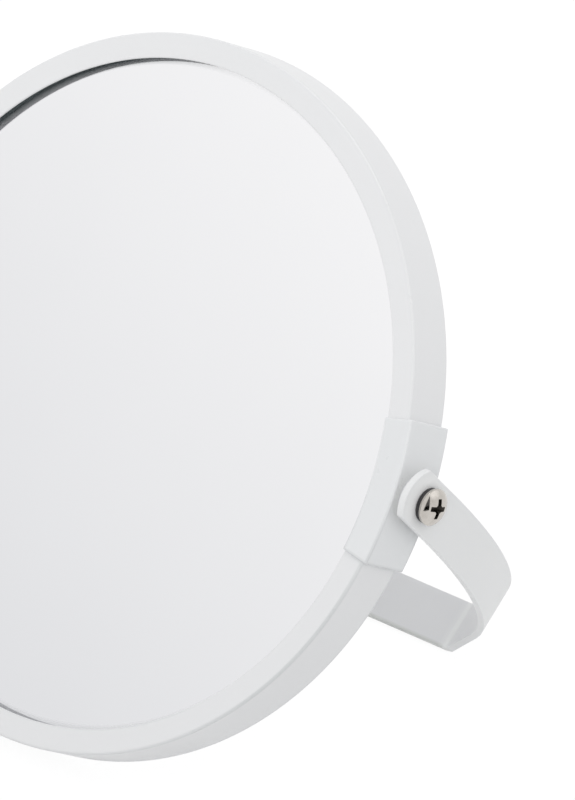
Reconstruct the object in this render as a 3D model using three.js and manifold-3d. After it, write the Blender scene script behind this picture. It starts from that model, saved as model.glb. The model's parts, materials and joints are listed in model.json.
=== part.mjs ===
// Two-sided table mirror: a round hoop with two glasses, carried on two pivot screws by a U-shaped strap.
// Millimetres, +Z up, the plain glass faces -Y, the pivot axis runs along X.
import * as THREE from 'three';
import * as BufferGeometryUtils from 'three/addons/utils/BufferGeometryUtils.js';
import Module from 'manifold-3d';

const wasm = await Module();
wasm.setup();

// Hoop
const hoopRadius = 85;
const hoopDepth = 12.9;
const hoopEdgeRound = 0.6;
const hoopWall = 1.8;
const hoopFrontThickness = 2;
const lipWidth = 6.1;
const lipThickness = 0.45;
const lipEdgeRound = 0.2;
const hoopFacets = 96;

// Glasses and what lies between them
const seatGap = 0.3;
const glassThickness = 2.8;
const glassLipOverlap = 1.4;
const glassFacets = 64;
const foamThickness = 2;
const foamInset = 7;
const spacerRingInset = 1.7;
const spacerRingWidth = 3.6;
const centringTabs = 8;
const centringTabWidth = 6;
const centringTabHeight = 2;

// Rear bezel and its snap bead
const bezelFlangeThickness = 1.5;
const bezelSkirtWall = 1.5;
const bezelSkirtLength = 0.8;
const snapBeadHeight = 0.3;
const snapBeadWidth = 0.3;
const snapGrooveDepth = 0.35;
const snapGrooveWidth = 1;

// Pivot clip
const clipSpanDegrees = 23.2;
const clipProudSide = 1.4;
const clipProudFace = 0.7;
const clipProudOpening = 0.4;
const clipWallSide = 1.6;
const clipWallFace = 1.1;
const clipEdgeRound = 0.5;
const clipBossRadius = 5;
const clipBossHeight = 0.4;

// Pivot screw, washers and plate nut
const pivotAboveCentre = 3.25;
const screwRadius = 1.95;
const screwHoleRadius = 2.3;
const screwHeadRadius = 4.35;
const screwHeadHeight = 2.4;
const screwHeadSide = 0.8;
const recessSpan = 5.1;
const recessBladeWidth = 1.15;
const recessDepth = 1.7;
const recessTurnDegrees = 9;
const headWasherThickness = 0.9;
const headWasherRadius = 4.2;
const spacerWasherThickness = 1.7;
const spacerWasherRadius = 4.6;
const nutPlateThickness = 1.9;
const nutPlateWidth = 10;
const nutPlateHeight = 6.2;
const nutHoleRadius = 2.2;
const nutRibThickness = 1.2;

// Strap of the stand
const strapWidth = 12.7;
const strapThickness = 1.8;
const strapEdgeRound = 0.25;
const armEndRadius = 8.4;
const armStraightLength = 6.8;
const armArcOffset = 19.6;
const rampDegrees = 43.3;
const crossbarClearance = 11.9;
const creaseRound = 5.2;

// Rest pose, leaning back on the hoop's lower edge and the strap's crossbar
const leanDegrees = 28.9;

// Values worked out from the sizes above
const halfDepth = hoopDepth / 2;
const wallInnerRadius = hoopRadius - hoopWall;
const openingRadius = hoopRadius - lipWidth;
const glassRadius = openingRadius + glassLipOverlap;
const glassSeatRadius = glassRadius + seatGap;
const frontGlassFace = -halfDepth + lipThickness + seatGap;
const frontGlassBack = frontGlassFace + glassThickness;
const foamFront = frontGlassBack + seatGap;
const foamRear = foamFront + foamThickness;
const rearGlassRim = halfDepth - lipThickness - seatGap;
const magnifierBulge = rearGlassRim - glassThickness - seatGap - foamRear;
const spacerRingOuterRadius = glassRadius - spacerRingInset;
const spacerRingInnerRadius = spacerRingOuterRadius - spacerRingWidth;
const clipOuterRadius = hoopRadius + clipProudSide;
const clipBossFace = clipOuterRadius + clipBossHeight;
const spacerWasherStart = clipBossFace + seatGap;
const armInnerFace = spacerWasherStart + spacerWasherThickness + seatGap;
const armOuterFace = armInnerFace + strapThickness;
const headWasherStart = armOuterFace + seatGap / 2;
const screwHeadStart = headWasherStart + headWasherThickness + seatGap / 2;
const nutReach = nutPlateWidth / 2 + pivotAboveCentre;
const nutPlateOuter = Math.sqrt(wallInnerRadius ** 2 - nutReach ** 2) - seatGap;
const nutPlateInner = nutPlateOuter - nutPlateThickness;
const screwTip = nutPlateInner;
const ramp = THREE.MathUtils.degToRad(rampDegrees);
const armArcRadius = hoopRadius + armArcOffset;
const rampTopX = armOuterFace - armArcRadius * (1 - Math.cos(ramp));
const rampTopDrop = armStraightLength + armArcRadius * Math.sin(ramp);
const strapReach = hoopRadius + pivotAboveCentre + crossbarClearance + strapThickness;
const creaseHalfSpan = rampTopX - (strapReach - rampTopDrop) * Math.tan(ramp);
const lean = THREE.MathUtils.degToRad(leanDegrees);

// How far the rear glass bulges forward at a radius, measured from its rim
function magnifierRise(radius) {
  return magnifierBulge * (1 - (radius / glassRadius) ** 2);
}

const whitePlastic = { color: 0xe9e8ea, roughness: 0.38, metalness: 0 };
const strapPlastic = { color: 0xe0e0e2, roughness: 0.42, metalness: 0 };
const mirrorGlass = { color: 0xf0f0f2, roughness: 0.03, metalness: 1 };
const palePlastic = { color: 0xd8d6cf, roughness: 0.55, metalness: 0 };
const greyFoam = { color: 0x8c8c8a, roughness: 0.95, metalness: 0 };
const nickel = { color: 0xc9c4bc, roughness: 0.16, metalness: 1 };
const zincSteel = { color: 0xb4b6b8, roughness: 0.35, metalness: 1 };
const blackFibre = { color: 0x17161a, roughness: 0.6, metalness: 0 };

// A geometry as one welded, closed solid
function solid(geometry) {
  geometry.deleteAttribute('normal');
  geometry.deleteAttribute('uv');
  const welded = BufferGeometryUtils.mergeVertices(geometry, 1e-5);
  const corners = welded.index.array;
  const kept = [];
  for (let i = 0; i < corners.length; i += 3) {
    const [a, b, c] = corners.slice(i, i + 3);
    if (a !== b && b !== c && c !== a) kept.push(a, b, c);
  }
  const vertProperties = new Float32Array(welded.attributes.position.array);
  const triVerts = new Uint32Array(kept);
  return new wasm.Manifold(new wasm.Mesh({ numProp: 3, vertProperties, triVerts }));
}

function piece(name, body, look) {
  const { vertProperties, triVerts } = body.getMesh();
  const geometry = new THREE.BufferGeometry();
  geometry.setAttribute('position', new THREE.BufferAttribute(new Float32Array(vertProperties), 3));
  geometry.setIndex(new THREE.BufferAttribute(new Uint32Array(triVerts), 1));
  geometry.computeVertexNormals();
  const mesh = new THREE.Mesh(geometry, new THREE.MeshStandardMaterial(look));
  mesh.name = name;
  return mesh;
}

// Profile points are [radius, height]; they turn about the Y axis
function revolve(profile, facets) {
  const points = profile.map(([radius, height]) => new THREE.Vector2(radius, height));
  return solid(new THREE.LatheGeometry(points, facets));
}

// A revolve about the pivot axis, with profile heights running along +X
function revolveAboutPivot(profile, facets) {
  const points = profile.map(([radius, height]) => new THREE.Vector2(radius, height));
  return solid(new THREE.LatheGeometry(points, facets).rotateZ(-Math.PI / 2));
}

function arcPoints(centreRadius, centreHeight, round, startDegrees, endDegrees, steps) {
  const points = [];
  for (let i = 0; i <= steps; i += 1) {
    const angle = THREE.MathUtils.degToRad(startDegrees + ((endDegrees - startDegrees) * i) / steps);
    points.push([centreRadius + round * Math.cos(angle), centreHeight + round * Math.sin(angle)]);
  }
  return points;
}

function closeLoop(profile) {
  return [...profile, profile[0]];
}

// A straight round cutter along the pivot axis, on the +X side
function pivotDrill(radius, from, to) {
  const drill = new THREE.CylinderGeometry(radius, radius, to - from, 24).rotateZ(-Math.PI / 2);
  return solid(drill.translate((from + to) / 2, 0, 0));
}

// The disc's own axis lies below the pivot axis
function onDiscAxis(body) {
  return body.translate([0, 0, -pivotAboveCentre]);
}

function onBothSides(body) {
  return [body, body.mirror([1, 0, 0])];
}

// C-shaped section of the pivot clip; growth widens it into the cutter for the seat it lies in
function clipSection(growth) {
  const out = growth > 0 ? growth + hoopEdgeRound : 0;
  const outerRadius = clipOuterRadius + out;
  const outerFace = halfDepth + clipProudFace + out;
  const openingEdge = openingRadius - clipProudOpening - out;
  const sideInner = clipOuterRadius - clipWallSide - growth;
  const faceInner = halfDepth + clipProudFace - clipWallFace - growth;
  const core = [
    [openingEdge, faceInner], [sideInner, faceInner], [sideInner, -faceInner], [openingEdge, -faceInner],
  ];
  if (growth > 0) {
    return closeLoop([
      [openingEdge, -outerFace], [outerRadius, -outerFace],
      [outerRadius, outerFace], [openingEdge, outerFace],
      ...core,
    ]);
  }
  const face = outerFace - clipEdgeRound;
  return closeLoop([
    ...arcPoints(openingEdge + clipEdgeRound, -face, clipEdgeRound, 180, 270, 2),
    ...arcPoints(outerRadius - clipEdgeRound, -face, clipEdgeRound, 270, 360, 3),
    ...arcPoints(outerRadius - clipEdgeRound, face, clipEdgeRound, 0, 90, 3),
    ...arcPoints(openingEdge + clipEdgeRound, face, clipEdgeRound, 90, 180, 2),
    ...core,
  ]);
}

// A wedge of the disc, centred on the pivot, for cutting the clip and its seat out of a full ring
function clipWedge(extraSpan) {
  const reach = hoopRadius * 1.5;
  const middle = Math.asin(pivotAboveCentre / clipOuterRadius);
  const halfSpan = THREE.MathUtils.degToRad(clipSpanDegrees) / 2 + extraSpan / hoopRadius;
  const wedge = new THREE.Shape();
  wedge.moveTo(0, 0);
  wedge.lineTo(reach * Math.cos(middle - halfSpan), reach * Math.sin(middle - halfSpan));
  wedge.lineTo(reach * Math.cos(middle + halfSpan), reach * Math.sin(middle + halfSpan));
  const prism = new THREE.ExtrudeGeometry(wedge, { depth: hoopDepth * 2, bevelEnabled: false });
  return solid(prism.translate(0, 0, -hoopDepth).rotateX(Math.PI / 2));
}

function makeClip() {
  const ring = revolve(clipSection(0), hoopFacets);
  const band = onDiscAxis(ring.intersect(clipWedge(0)));
  const bossRoot = clipOuterRadius - clipWallSide / 2;
  const boss = pivotDrill(clipBossRadius, bossRoot, clipBossFace);
  return band.add(boss).subtract(pivotDrill(screwHoleRadius, nutPlateInner, clipBossFace + 1));
}

const clipSeat = onDiscAxis(revolve(clipSection(seatGap), hoopFacets).intersect(clipWedge(seatGap)));

function makeHoop() {
  const grooveFront = halfDepth - bezelFlangeThickness - snapGrooveWidth + seatGap / 3;
  const ring = onDiscAxis(revolve(closeLoop([
    ...arcPoints(openingRadius + lipEdgeRound, -halfDepth + lipEdgeRound, lipEdgeRound, 180, 270, 2),
    ...arcPoints(hoopRadius - hoopEdgeRound, -halfDepth + hoopEdgeRound, hoopEdgeRound, 270, 360, 3),
    ...arcPoints(hoopRadius - hoopEdgeRound, halfDepth - hoopEdgeRound, hoopEdgeRound, 0, 90, 3),
    [wallInnerRadius, halfDepth],
    [wallInnerRadius, grooveFront + snapGrooveWidth],
    [wallInnerRadius + snapGrooveDepth, grooveFront + snapGrooveWidth],
    [wallInnerRadius + snapGrooveDepth, grooveFront],
    [wallInnerRadius, grooveFront],
    [wallInnerRadius, -halfDepth + hoopFrontThickness],
    [glassSeatRadius, -halfDepth + hoopFrontThickness],
    [glassSeatRadius, -halfDepth + lipThickness],
    [openingRadius, -halfDepth + lipThickness],
  ]), hoopFacets));
  const ribLength = hoopRadius - clipProudSide - glassSeatRadius;
  const ribHeight = nutPlateHeight / 2 + halfDepth - hoopFrontThickness / 2;
  let hoop = ring;
  for (const end of [-1, 1]) {
    const rib = new THREE.BoxGeometry(ribLength, ribHeight, nutRibThickness);
    rib.translate(
      glassSeatRadius + ribLength / 2,
      nutPlateHeight / 2 - ribHeight / 2,
      end * (nutPlateWidth / 2 + seatGap + nutRibThickness / 2),
    );
    for (const body of onBothSides(solid(rib))) hoop = hoop.add(body);
  }
  for (const seat of onBothSides(clipSeat)) hoop = hoop.subtract(seat);
  for (const hole of onBothSides(pivotDrill(screwHoleRadius, screwTip - 1, clipOuterRadius))) {
    hoop = hoop.subtract(hole);
  }
  return hoop;
}

function makeBezel() {
  const outer = wallInnerRadius - seatGap;
  const flangeInner = halfDepth - bezelFlangeThickness;
  const skirtEnd = flangeInner - bezelSkirtLength;
  const beadMiddle = skirtEnd + bezelSkirtLength / 2;
  const ring = onDiscAxis(revolve(closeLoop([
    [openingRadius, halfDepth - lipThickness],
    [glassSeatRadius, halfDepth - lipThickness],
    [glassSeatRadius, flangeInner],
    [outer - bezelSkirtWall, flangeInner],
    [outer - bezelSkirtWall, skirtEnd],
    [outer, skirtEnd],
    [outer, beadMiddle - snapBeadWidth / 2],
    [outer + snapBeadHeight, beadMiddle],
    [outer, beadMiddle + snapBeadWidth / 2],
    [outer, halfDepth],
    ...arcPoints(openingRadius + lipEdgeRound, halfDepth - lipEdgeRound, lipEdgeRound, 90, 180, 2),
  ]), hoopFacets));
  return onBothSides(clipSeat).reduce((body, seat) => body.subtract(seat), ring);
}

function makeFrontGlass() {
  return onDiscAxis(revolve([
    [0, frontGlassFace], [glassRadius, frontGlassFace], [glassRadius, frontGlassBack], [0, frontGlassBack],
  ], glassFacets));
}

function makeRearGlass() {
  const steps = 4;
  const front = [];
  const back = [];
  for (let i = 0; i <= steps; i += 1) {
    const radius = (glassRadius * i) / steps;
    const rim = rearGlassRim - magnifierRise(radius);
    front.push([radius, rim - glassThickness]);
    back.unshift([radius, rim]);
  }
  return onDiscAxis(revolve([...front, ...back], glassFacets));
}

function makeFoam() {
  const radius = spacerRingInnerRadius - foamInset;
  return onDiscAxis(revolve([
    [0, foamFront], [radius, foamFront], [radius, foamRear], [0, foamRear],
  ], glassFacets));
}

// The ring's rear edge follows the curve of the magnifying glass
function makeSpacerRing() {
  const rearAt = (radius) => rearGlassRim - glassThickness - magnifierRise(radius) - seatGap;
  let ring = revolve(closeLoop([
    [spacerRingInnerRadius, foamFront],
    [spacerRingOuterRadius, foamFront],
    [spacerRingOuterRadius, rearAt(spacerRingOuterRadius)],
    [spacerRingInnerRadius, rearAt(spacerRingInnerRadius)],
  ]), glassFacets);
  const tabStart = (spacerRingInnerRadius + spacerRingOuterRadius) / 2;
  const tabEnd = Math.sqrt((wallInnerRadius - seatGap) ** 2 - (centringTabWidth / 2) ** 2);
  for (let i = 0; i < centringTabs; i += 1) {
    const tab = new THREE.BoxGeometry(tabEnd - tabStart, centringTabHeight, centringTabWidth);
    tab.translate((tabStart + tabEnd) / 2, 0, 0).rotateY(((i + 0.5) * 2 * Math.PI) / centringTabs);
    ring = ring.add(solid(tab));
  }
  return onDiscAxis(ring);
}

// Pan head, cross recess, plain shank
function makeScrew() {
  const dome = [];
  const domeSteps = 6;
  for (let i = 0; i <= domeSteps; i += 1) {
    const angle = ((Math.PI / 2) * i) / domeSteps;
    const height = screwHeadSide + (screwHeadHeight - screwHeadSide) * Math.sin(angle);
    dome.push([i === domeSteps ? 0 : screwHeadRadius * Math.cos(angle), screwHeadStart + height]);
  }
  const body = revolveAboutPivot([
    [0, screwTip],
    [screwRadius - seatGap, screwTip],
    [screwRadius, screwTip + seatGap],
    [screwRadius, screwHeadStart],
    [screwHeadRadius - seatGap / 2, screwHeadStart],
    [screwHeadRadius, screwHeadStart + seatGap / 2],
    ...dome,
  ], 24);
  const mouth = screwHeadStart + screwHeadHeight + 0.2;
  let screw = body;
  for (const turn of [0, 90]) {
    const blade = new THREE.CylinderGeometry(Math.SQRT1_2, Math.SQRT1_2 * 0.45, recessDepth + 0.2, 4);
    blade.rotateY(Math.PI / 4).scale(recessSpan, 1, recessBladeWidth);
    blade.rotateY(THREE.MathUtils.degToRad(turn + recessTurnDegrees)).rotateZ(-Math.PI / 2);
    blade.translate(mouth - (recessDepth + 0.2) / 2, 0, 0);
    screw = screw.subtract(solid(blade));
  }
  return screw;
}

function makeWasher(outer, start, thickness) {
  return revolveAboutPivot(closeLoop([
    [screwHoleRadius, start], [outer, start],
    [outer, start + thickness], [screwHoleRadius, start + thickness],
  ]), 32);
}

function makeNutPlate() {
  const half = nutPlateWidth / 2;
  const rise = nutPlateHeight / 2;
  const outline = new THREE.Shape();
  outline.moveTo(-half, -rise);
  outline.lineTo(half, -rise);
  outline.lineTo(half, rise);
  outline.lineTo(-half, rise);
  outline.holes.push(new THREE.Path().absarc(0, 0, nutHoleRadius, 0, 2 * Math.PI, false));
  const plate = new THREE.ExtrudeGeometry(outline, {
    depth: nutPlateThickness,
    bevelEnabled: false,
    curveSegments: 24,
  });
  plate.rotateZ(Math.PI / 2).rotateY(Math.PI / 2).rotateX(Math.PI / 2);
  return solid(plate.translate(nutPlateInner, 0, 0));
}

// One face of the strap, from one arm's end round to the other, set in by a depth
function strapRun(path, inset, backwards) {
  const arm = armOuterFace - inset;
  const armTop = armEndRadius + 1;
  const arcCentre = armOuterFace - armArcRadius;
  const arcRadius = armArcRadius - inset;
  const creaseX = creaseHalfSpan - creaseRound * Math.tan((Math.PI / 2 - ramp) / 2);
  const creaseY = creaseRound - strapReach;
  const round = creaseRound - inset;
  if (!backwards) {
    path.moveTo(arm, armTop);
    path.lineTo(arm, -armStraightLength);
    path.absarc(arcCentre, -armStraightLength, arcRadius, 0, -ramp, true);
    path.absarc(creaseX, creaseY, round, -ramp, -Math.PI / 2, true);
    path.absarc(-creaseX, creaseY, round, -Math.PI / 2, -Math.PI + ramp, true);
    path.absarc(-arcCentre, -armStraightLength, arcRadius, -Math.PI + ramp, -Math.PI, true);
    path.lineTo(-arm, armTop);
    return;
  }
  path.lineTo(-arm, armTop);
  path.lineTo(-arm, -armStraightLength);
  path.absarc(-arcCentre, -armStraightLength, arcRadius, -Math.PI, -Math.PI + ramp, false);
  path.absarc(-creaseX, creaseY, round, -Math.PI + ramp, -Math.PI / 2, false);
  path.absarc(creaseX, creaseY, round, -Math.PI / 2, -ramp, false);
  path.absarc(arcCentre, -armStraightLength, arcRadius, -ramp, 0, false);
  path.lineTo(arm, armTop);
}

function makeStrap() {
  const side = new THREE.Shape();
  strapRun(side, 0, false);
  strapRun(side, strapThickness, true);
  const bent = new THREE.ExtrudeGeometry(side, {
    depth: strapWidth - 2 * strapEdgeRound,
    bevelThickness: strapEdgeRound,
    bevelSize: strapEdgeRound,
    bevelOffset: -strapEdgeRound,
    bevelSegments: 2,
    curveSegments: 9,
  });
  bent.translate(0, 0, strapEdgeRound - strapWidth / 2).rotateX(Math.PI / 2);
  const front = new THREE.Shape();
  front.absarc(0, 0, armEndRadius, 0, Math.PI, false);
  front.lineTo(-armEndRadius, -strapReach - 1);
  front.lineTo(armEndRadius, -strapReach - 1);
  const across = new THREE.ExtrudeGeometry(front, {
    depth: 2 * armOuterFace + 2,
    bevelEnabled: false,
    curveSegments: 24,
  });
  across.translate(0, 0, -armOuterFace - 1).rotateY(Math.PI / 2).rotateX(Math.PI / 2);
  const strap = solid(bent).intersect(solid(across));
  const drills = onBothSides(pivotDrill(screwHoleRadius, armInnerFace - 1, armOuterFace + 1));
  return drills.reduce((body, drill) => body.subtract(drill), strap);
}

const mirror = new THREE.Group();
mirror.add(
  piece('rim_hoop', makeHoop(), whitePlastic),
  piece('rear_bezel', makeBezel(), whitePlastic),
  piece('front_glass', makeFrontGlass(), mirrorGlass),
  piece('rear_glass', makeRearGlass(), mirrorGlass),
  piece('foam_pad', makeFoam(), greyFoam),
  piece('spacer_ring', makeSpacerRing(), palePlastic),
);

for (const [label, turn] of [['right', 0], ['left', Math.PI]]) {
  const side = new THREE.Group();
  side.rotation.z = turn;
  const headWasher = makeWasher(headWasherRadius, headWasherStart, headWasherThickness);
  const spacerWasher = makeWasher(spacerWasherRadius, spacerWasherStart, spacerWasherThickness);
  side.add(
    piece(`pivot_clip_${label}`, makeClip(), whitePlastic),
    piece(`pivot_screw_${label}`, makeScrew(), nickel),
    piece(`head_washer_${label}`, headWasher, blackFibre),
    piece(`spacer_washer_${label}`, spacerWasher, palePlastic),
    piece(`nut_plate_${label}`, makeNutPlate(), zincSteel),
  );
  mirror.add(side);
}

const stand = new THREE.Group();
stand.add(piece('stand_strap', makeStrap(), strapPlastic));

// Height of the pivot when the hoop's rear lower edge stands on the table
const hoopDrop = (halfDepth - hoopEdgeRound) * Math.sin(lean) + hoopEdgeRound
  + (hoopRadius - hoopEdgeRound + pivotAboveCentre) * Math.cos(lean);

// Angle below the horizontal at which the crossbar's lower edge reaches the table too
const barDepth = strapReach - strapEdgeRound;
const barHalfWidth = strapWidth / 2 - strapEdgeRound;
const strapAngle = Math.asin((hoopDrop - strapEdgeRound) / Math.hypot(barDepth, barHalfWidth))
  - Math.atan2(barHalfWidth, barDepth);

mirror.rotation.x = -lean;
stand.rotation.x = Math.PI / 2 - strapAngle;

const model = new THREE.Group();
model.name = 'makeup_mirror';
const standing = new THREE.Group();
standing.position.z = hoopDrop;
standing.add(mirror, stand);
model.add(standing);

// The origin lies on the table, under the middle of the whole object
model.updateMatrixWorld(true);
const middle = new THREE.Box3().setFromObject(model, true).getCenter(new THREE.Vector3());
standing.position.y = -middle.y;

export default model;
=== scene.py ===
import json
from math import asin, atan2, cos, degrees, hypot, pi, radians, sin, sqrt, tan

import bmesh
import bpy
import numpy as np
from mathutils import Matrix, Vector


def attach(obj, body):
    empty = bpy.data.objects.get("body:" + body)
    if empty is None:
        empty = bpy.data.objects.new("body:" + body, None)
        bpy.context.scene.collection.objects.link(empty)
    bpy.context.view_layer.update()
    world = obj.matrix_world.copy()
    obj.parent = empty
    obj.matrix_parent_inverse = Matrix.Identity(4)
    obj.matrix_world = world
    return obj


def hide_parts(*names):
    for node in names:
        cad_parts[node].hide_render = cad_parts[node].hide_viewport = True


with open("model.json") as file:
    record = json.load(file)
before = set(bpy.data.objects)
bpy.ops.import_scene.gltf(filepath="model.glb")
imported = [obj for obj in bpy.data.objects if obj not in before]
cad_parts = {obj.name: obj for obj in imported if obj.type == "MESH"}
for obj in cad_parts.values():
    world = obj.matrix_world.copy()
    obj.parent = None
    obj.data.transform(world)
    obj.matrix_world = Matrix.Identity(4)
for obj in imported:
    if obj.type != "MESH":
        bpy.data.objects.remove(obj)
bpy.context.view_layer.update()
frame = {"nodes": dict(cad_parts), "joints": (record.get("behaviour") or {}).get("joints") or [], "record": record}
print("frame: loaded", len(frame["nodes"]), "nodes")

mm = 0.001


def millimetres(**sizes):
    return {name: size * mm for name, size in sizes.items()}


def pick(sizes, names):
    return [sizes[name] for name in names.split()]


def setAll(item, **settings):
    for name, value in settings.items():
        setattr(item, name, value)
    return item


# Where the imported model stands: the pivot axis, the head's lean and the strap's direction
place = {
    "pivot": frame["joints"][0]["pos_m"],
    "leanDegrees": 28.9,
    "strapWay": frame["record"]["mounts"][0]["axis"],
    "pivotRise": 3.25 * mm,
}

strapDrop = atan2(-place["strapWay"][2], place["strapWay"][1])
pivotPlace = Matrix.Translation(place["pivot"])
headPlace = pivotPlace @ Matrix.Rotation(-radians(place["leanDegrees"]), 4, "X")
strapPlace = pivotPlace @ Matrix.Rotation(pi / 2 - strapDrop, 4, "X")
pivotLift = Matrix.Translation((0, 0, place["pivotRise"]))
discPlace = headPlace @ Matrix.Translation((0, 0, -place["pivotRise"]))
zToDiscAxis = Matrix.Rotation(-pi / 2, 4, "X")
zToPivotAxis = Matrix.Rotation(pi / 2, 4, "Y")
sides = {"right": Matrix.Identity(4), "left": Matrix.Rotation(pi, 4, "Z")}

# The photograph's view
view = {
    "camera": {"lens": 540.0, "sensor_width": 36.0, "clip_end": 50.0},
    "azimuth": 43.55, "elevation": 26.41, "distance": 2.7931, "target": (0.02579, 0.009918, 0.076627),
}


def newPiece(name, data):
    piece = bpy.data.objects.new(name, data)
    bpy.context.scene.collection.objects.link(piece)
    return piece


def meshPiece(name, *lists):
    mesh = bpy.data.meshes.new(name)
    mesh.from_pydata(*lists)
    return newPiece(name, mesh)


def makeCamera():
    data = bpy.data.cameras.new("photoCamera")
    camera = newPiece("photoCamera", setAll(data, **view["camera"]))
    turn, rise = radians(view["azimuth"]), radians(view["elevation"])
    back = Vector((sin(turn) * cos(rise), -cos(turn) * cos(rise), sin(rise)))
    camera.location = Vector(view["target"]) + back * view["distance"]
    camera.rotation_euler = (-back).to_track_quat("-Z", "Y").to_euler()
    bpy.context.scene.camera = camera


makeCamera()
bpy.context.scene.view_settings.view_transform = "Standard"
print("camera: set")


# A node tree: each socket takes either a constant or another node's output
class Tree:
    def __init__(self, block):
        self.block = block

    def plug(self, value, socket):
        if hasattr(value, "is_output"):
            self.block.links.new(value, socket)
        else:
            socket.default_value = (*value, 1) if socket.type == "RGBA" else value

    def add(self, kind, inputs=None, family="ShaderNode", **settings):
        node = setAll(self.block.nodes.new(family + kind), **settings)
        for key, value in (inputs or {}).items():
            self.plug(value, node.inputs[key])
        return node

    def math(self, operation, *values):
        return self.add("Math", dict(enumerate(values)), operation=operation).outputs[0]

    def times(self, first, second):
        return self.math("MULTIPLY", first, second)

    def vector(self, operation, *values):
        node = self.add("VectorMath", dict(enumerate(values)), operation=operation)
        return node.outputs["Value" if operation in ("DOT_PRODUCT", "LENGTH", "DISTANCE") else "Vector"]

    def range(self, value, edges, ends=(0.0, 1.0), curve="LINEAR"):
        labels = ("Value", "From Min", "From Max", "To Min", "To Max")
        inputs = dict(zip(labels, (value, *edges, *ends)))
        return self.add("MapRange", inputs, interpolation_type=curve).outputs["Result"]

    def mixValue(self, share, first, second):
        return self.add("Mix", {0: share, 2: first, 3: second}).outputs[0]

    def mixColour(self, share, first, second):
        return self.add("Mix", {0: share, 6: first, 7: second}, data_type="RGBA").outputs[2]

    def mixShader(self, share, first, second):
        return self.add("MixShader", {0: share, 1: first, 2: second}).outputs[0]

    def noise(self, vector, scale, detail, roughness):
        inputs = {"Vector": vector, "Scale": scale, "Detail": detail, "Roughness": roughness}
        return self.add("TexNoise", inputs).outputs["Fac"]

    def cells(self, vector, scale):
        return self.add("TexVoronoi", {"Vector": vector, "Scale": scale}).outputs["Distance"]

    def split(self, vector):
        return self.add("SeparateXYZ", {0: vector}).outputs

    def join(self, **parts):
        return self.add("CombineXYZ", parts).outputs[0]

    def place(self, kind):
        return self.add("TexCoord").outputs[kind]

    def ray(self, kind):
        return self.add("LightPath").outputs[kind]

    def share(self, name):
        return self.add("Attribute", attribute_name=name).outputs["Fac"]

    def step(self, kind, inputs=None, **settings):
        return self.add(kind, inputs, "GeometryNode", **settings).outputs[0]


def startNodes(block):
    block.use_nodes = True
    block.node_tree.nodes.clear()
    return Tree(block.node_tree)


studio = {
    "tent": {"Strength": 0.86, "Color": (0.985, 0.99, 0.99)},
    "white": (1, 1, 1), "black": (0, 0, 0), "whiteStrength": 1.0,
    "openSide": ((0.765, 0.165, 0.625), (0.835, -0.50, -0.235), (0.957, 0.035, -0.288)),
    "openSideEdges": (-0.03, 0.03), "openSideStrength": 0.12, "openSideFrom": (0.094, *place["pivot"][1:]),
    "softBox": (0.6547, 0.559, 0.508), "softBoxEdges": (0.86, 0.985), "softBoxExtra": 0.42,
    "floorSize": 12.0, "floorDrop": 0.2 * mm, "floorGlow": 0.93, "floorShadow": 0.14,
    "floorColour": (0.77, 0.775, 0.775),
    "lamps": {
        "keyPanel": {"at": (-0.9, -1.5, 1.9), "size": 1.3, "watts": 3.5, "mirrored": False},
        "fillPanel": {"at": (1.55, -1.65, 1.2), "size": 1.3, "watts": 4.0, "mirrored": False},
        "topPanel": {"at": (0.0, 0.1, 2.3), "size": 0.7, "watts": 4.1, "mirrored": True},
    },
}


def seenOrMirrored(tree):
    mirrored = tree.math("MAXIMUM", tree.ray("Is Glossy Ray"), tree.ray("Is Transmission Ray"))
    return tree.math("MAXIMUM", tree.ray("Is Camera Ray"), mirrored)


def facingShare(tree, direction, axis, edges):
    return tree.range(tree.vector("DOT_PRODUCT", direction, axis), edges, curve="SMOOTHSTEP")


# The tent is open between three directions, and the planes through pairs of them bound this mask
def openingShare(tree, direction):
    plain = tree.vector("NORMALIZE", direction)
    corners = [Vector(corner).normalized() for corner in studio["openSide"]]
    middle = sum(corners, Vector())
    share = None
    for first, second in zip(corners, corners[1:] + corners[:1]):
        side = first.cross(second).normalized()
        side *= 1 if side.dot(middle) > 0 else -1
        inside = facingShare(tree, plain, side, studio["openSideEdges"])
        share = inside if share is None else tree.times(share, inside)
    return share


# Polished surfaces reflect the darker room through the opening, and a soft box at the back right
def mirroredStrength(tree):
    where = tree.place("Generated")
    white = studio["whiteStrength"]
    opening = openingShare(tree, where)
    box = facingShare(tree, where, studio["softBox"], studio["softBoxEdges"])
    brightened = tree.mixValue(box, white, white + studio["softBoxExtra"])
    dimmed = tree.mixValue(opening, brightened, studio["openSideStrength"])
    return tree.mixValue(tree.ray("Is Camera Ray"), dimmed, white)


def makeWorld():
    world = bpy.data.worlds.new("lightTent")
    tree = startNodes(world)
    tent = tree.add("Background", studio["tent"])
    white = tree.add("Background", {"Strength": mirroredStrength(tree), "Color": studio["white"]})
    whole = tree.mixShader(seenOrMirrored(tree), tent.outputs[0], white.outputs[0])
    tree.add("OutputWorld", {"Surface": whole})
    bpy.context.scene.world = world


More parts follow.
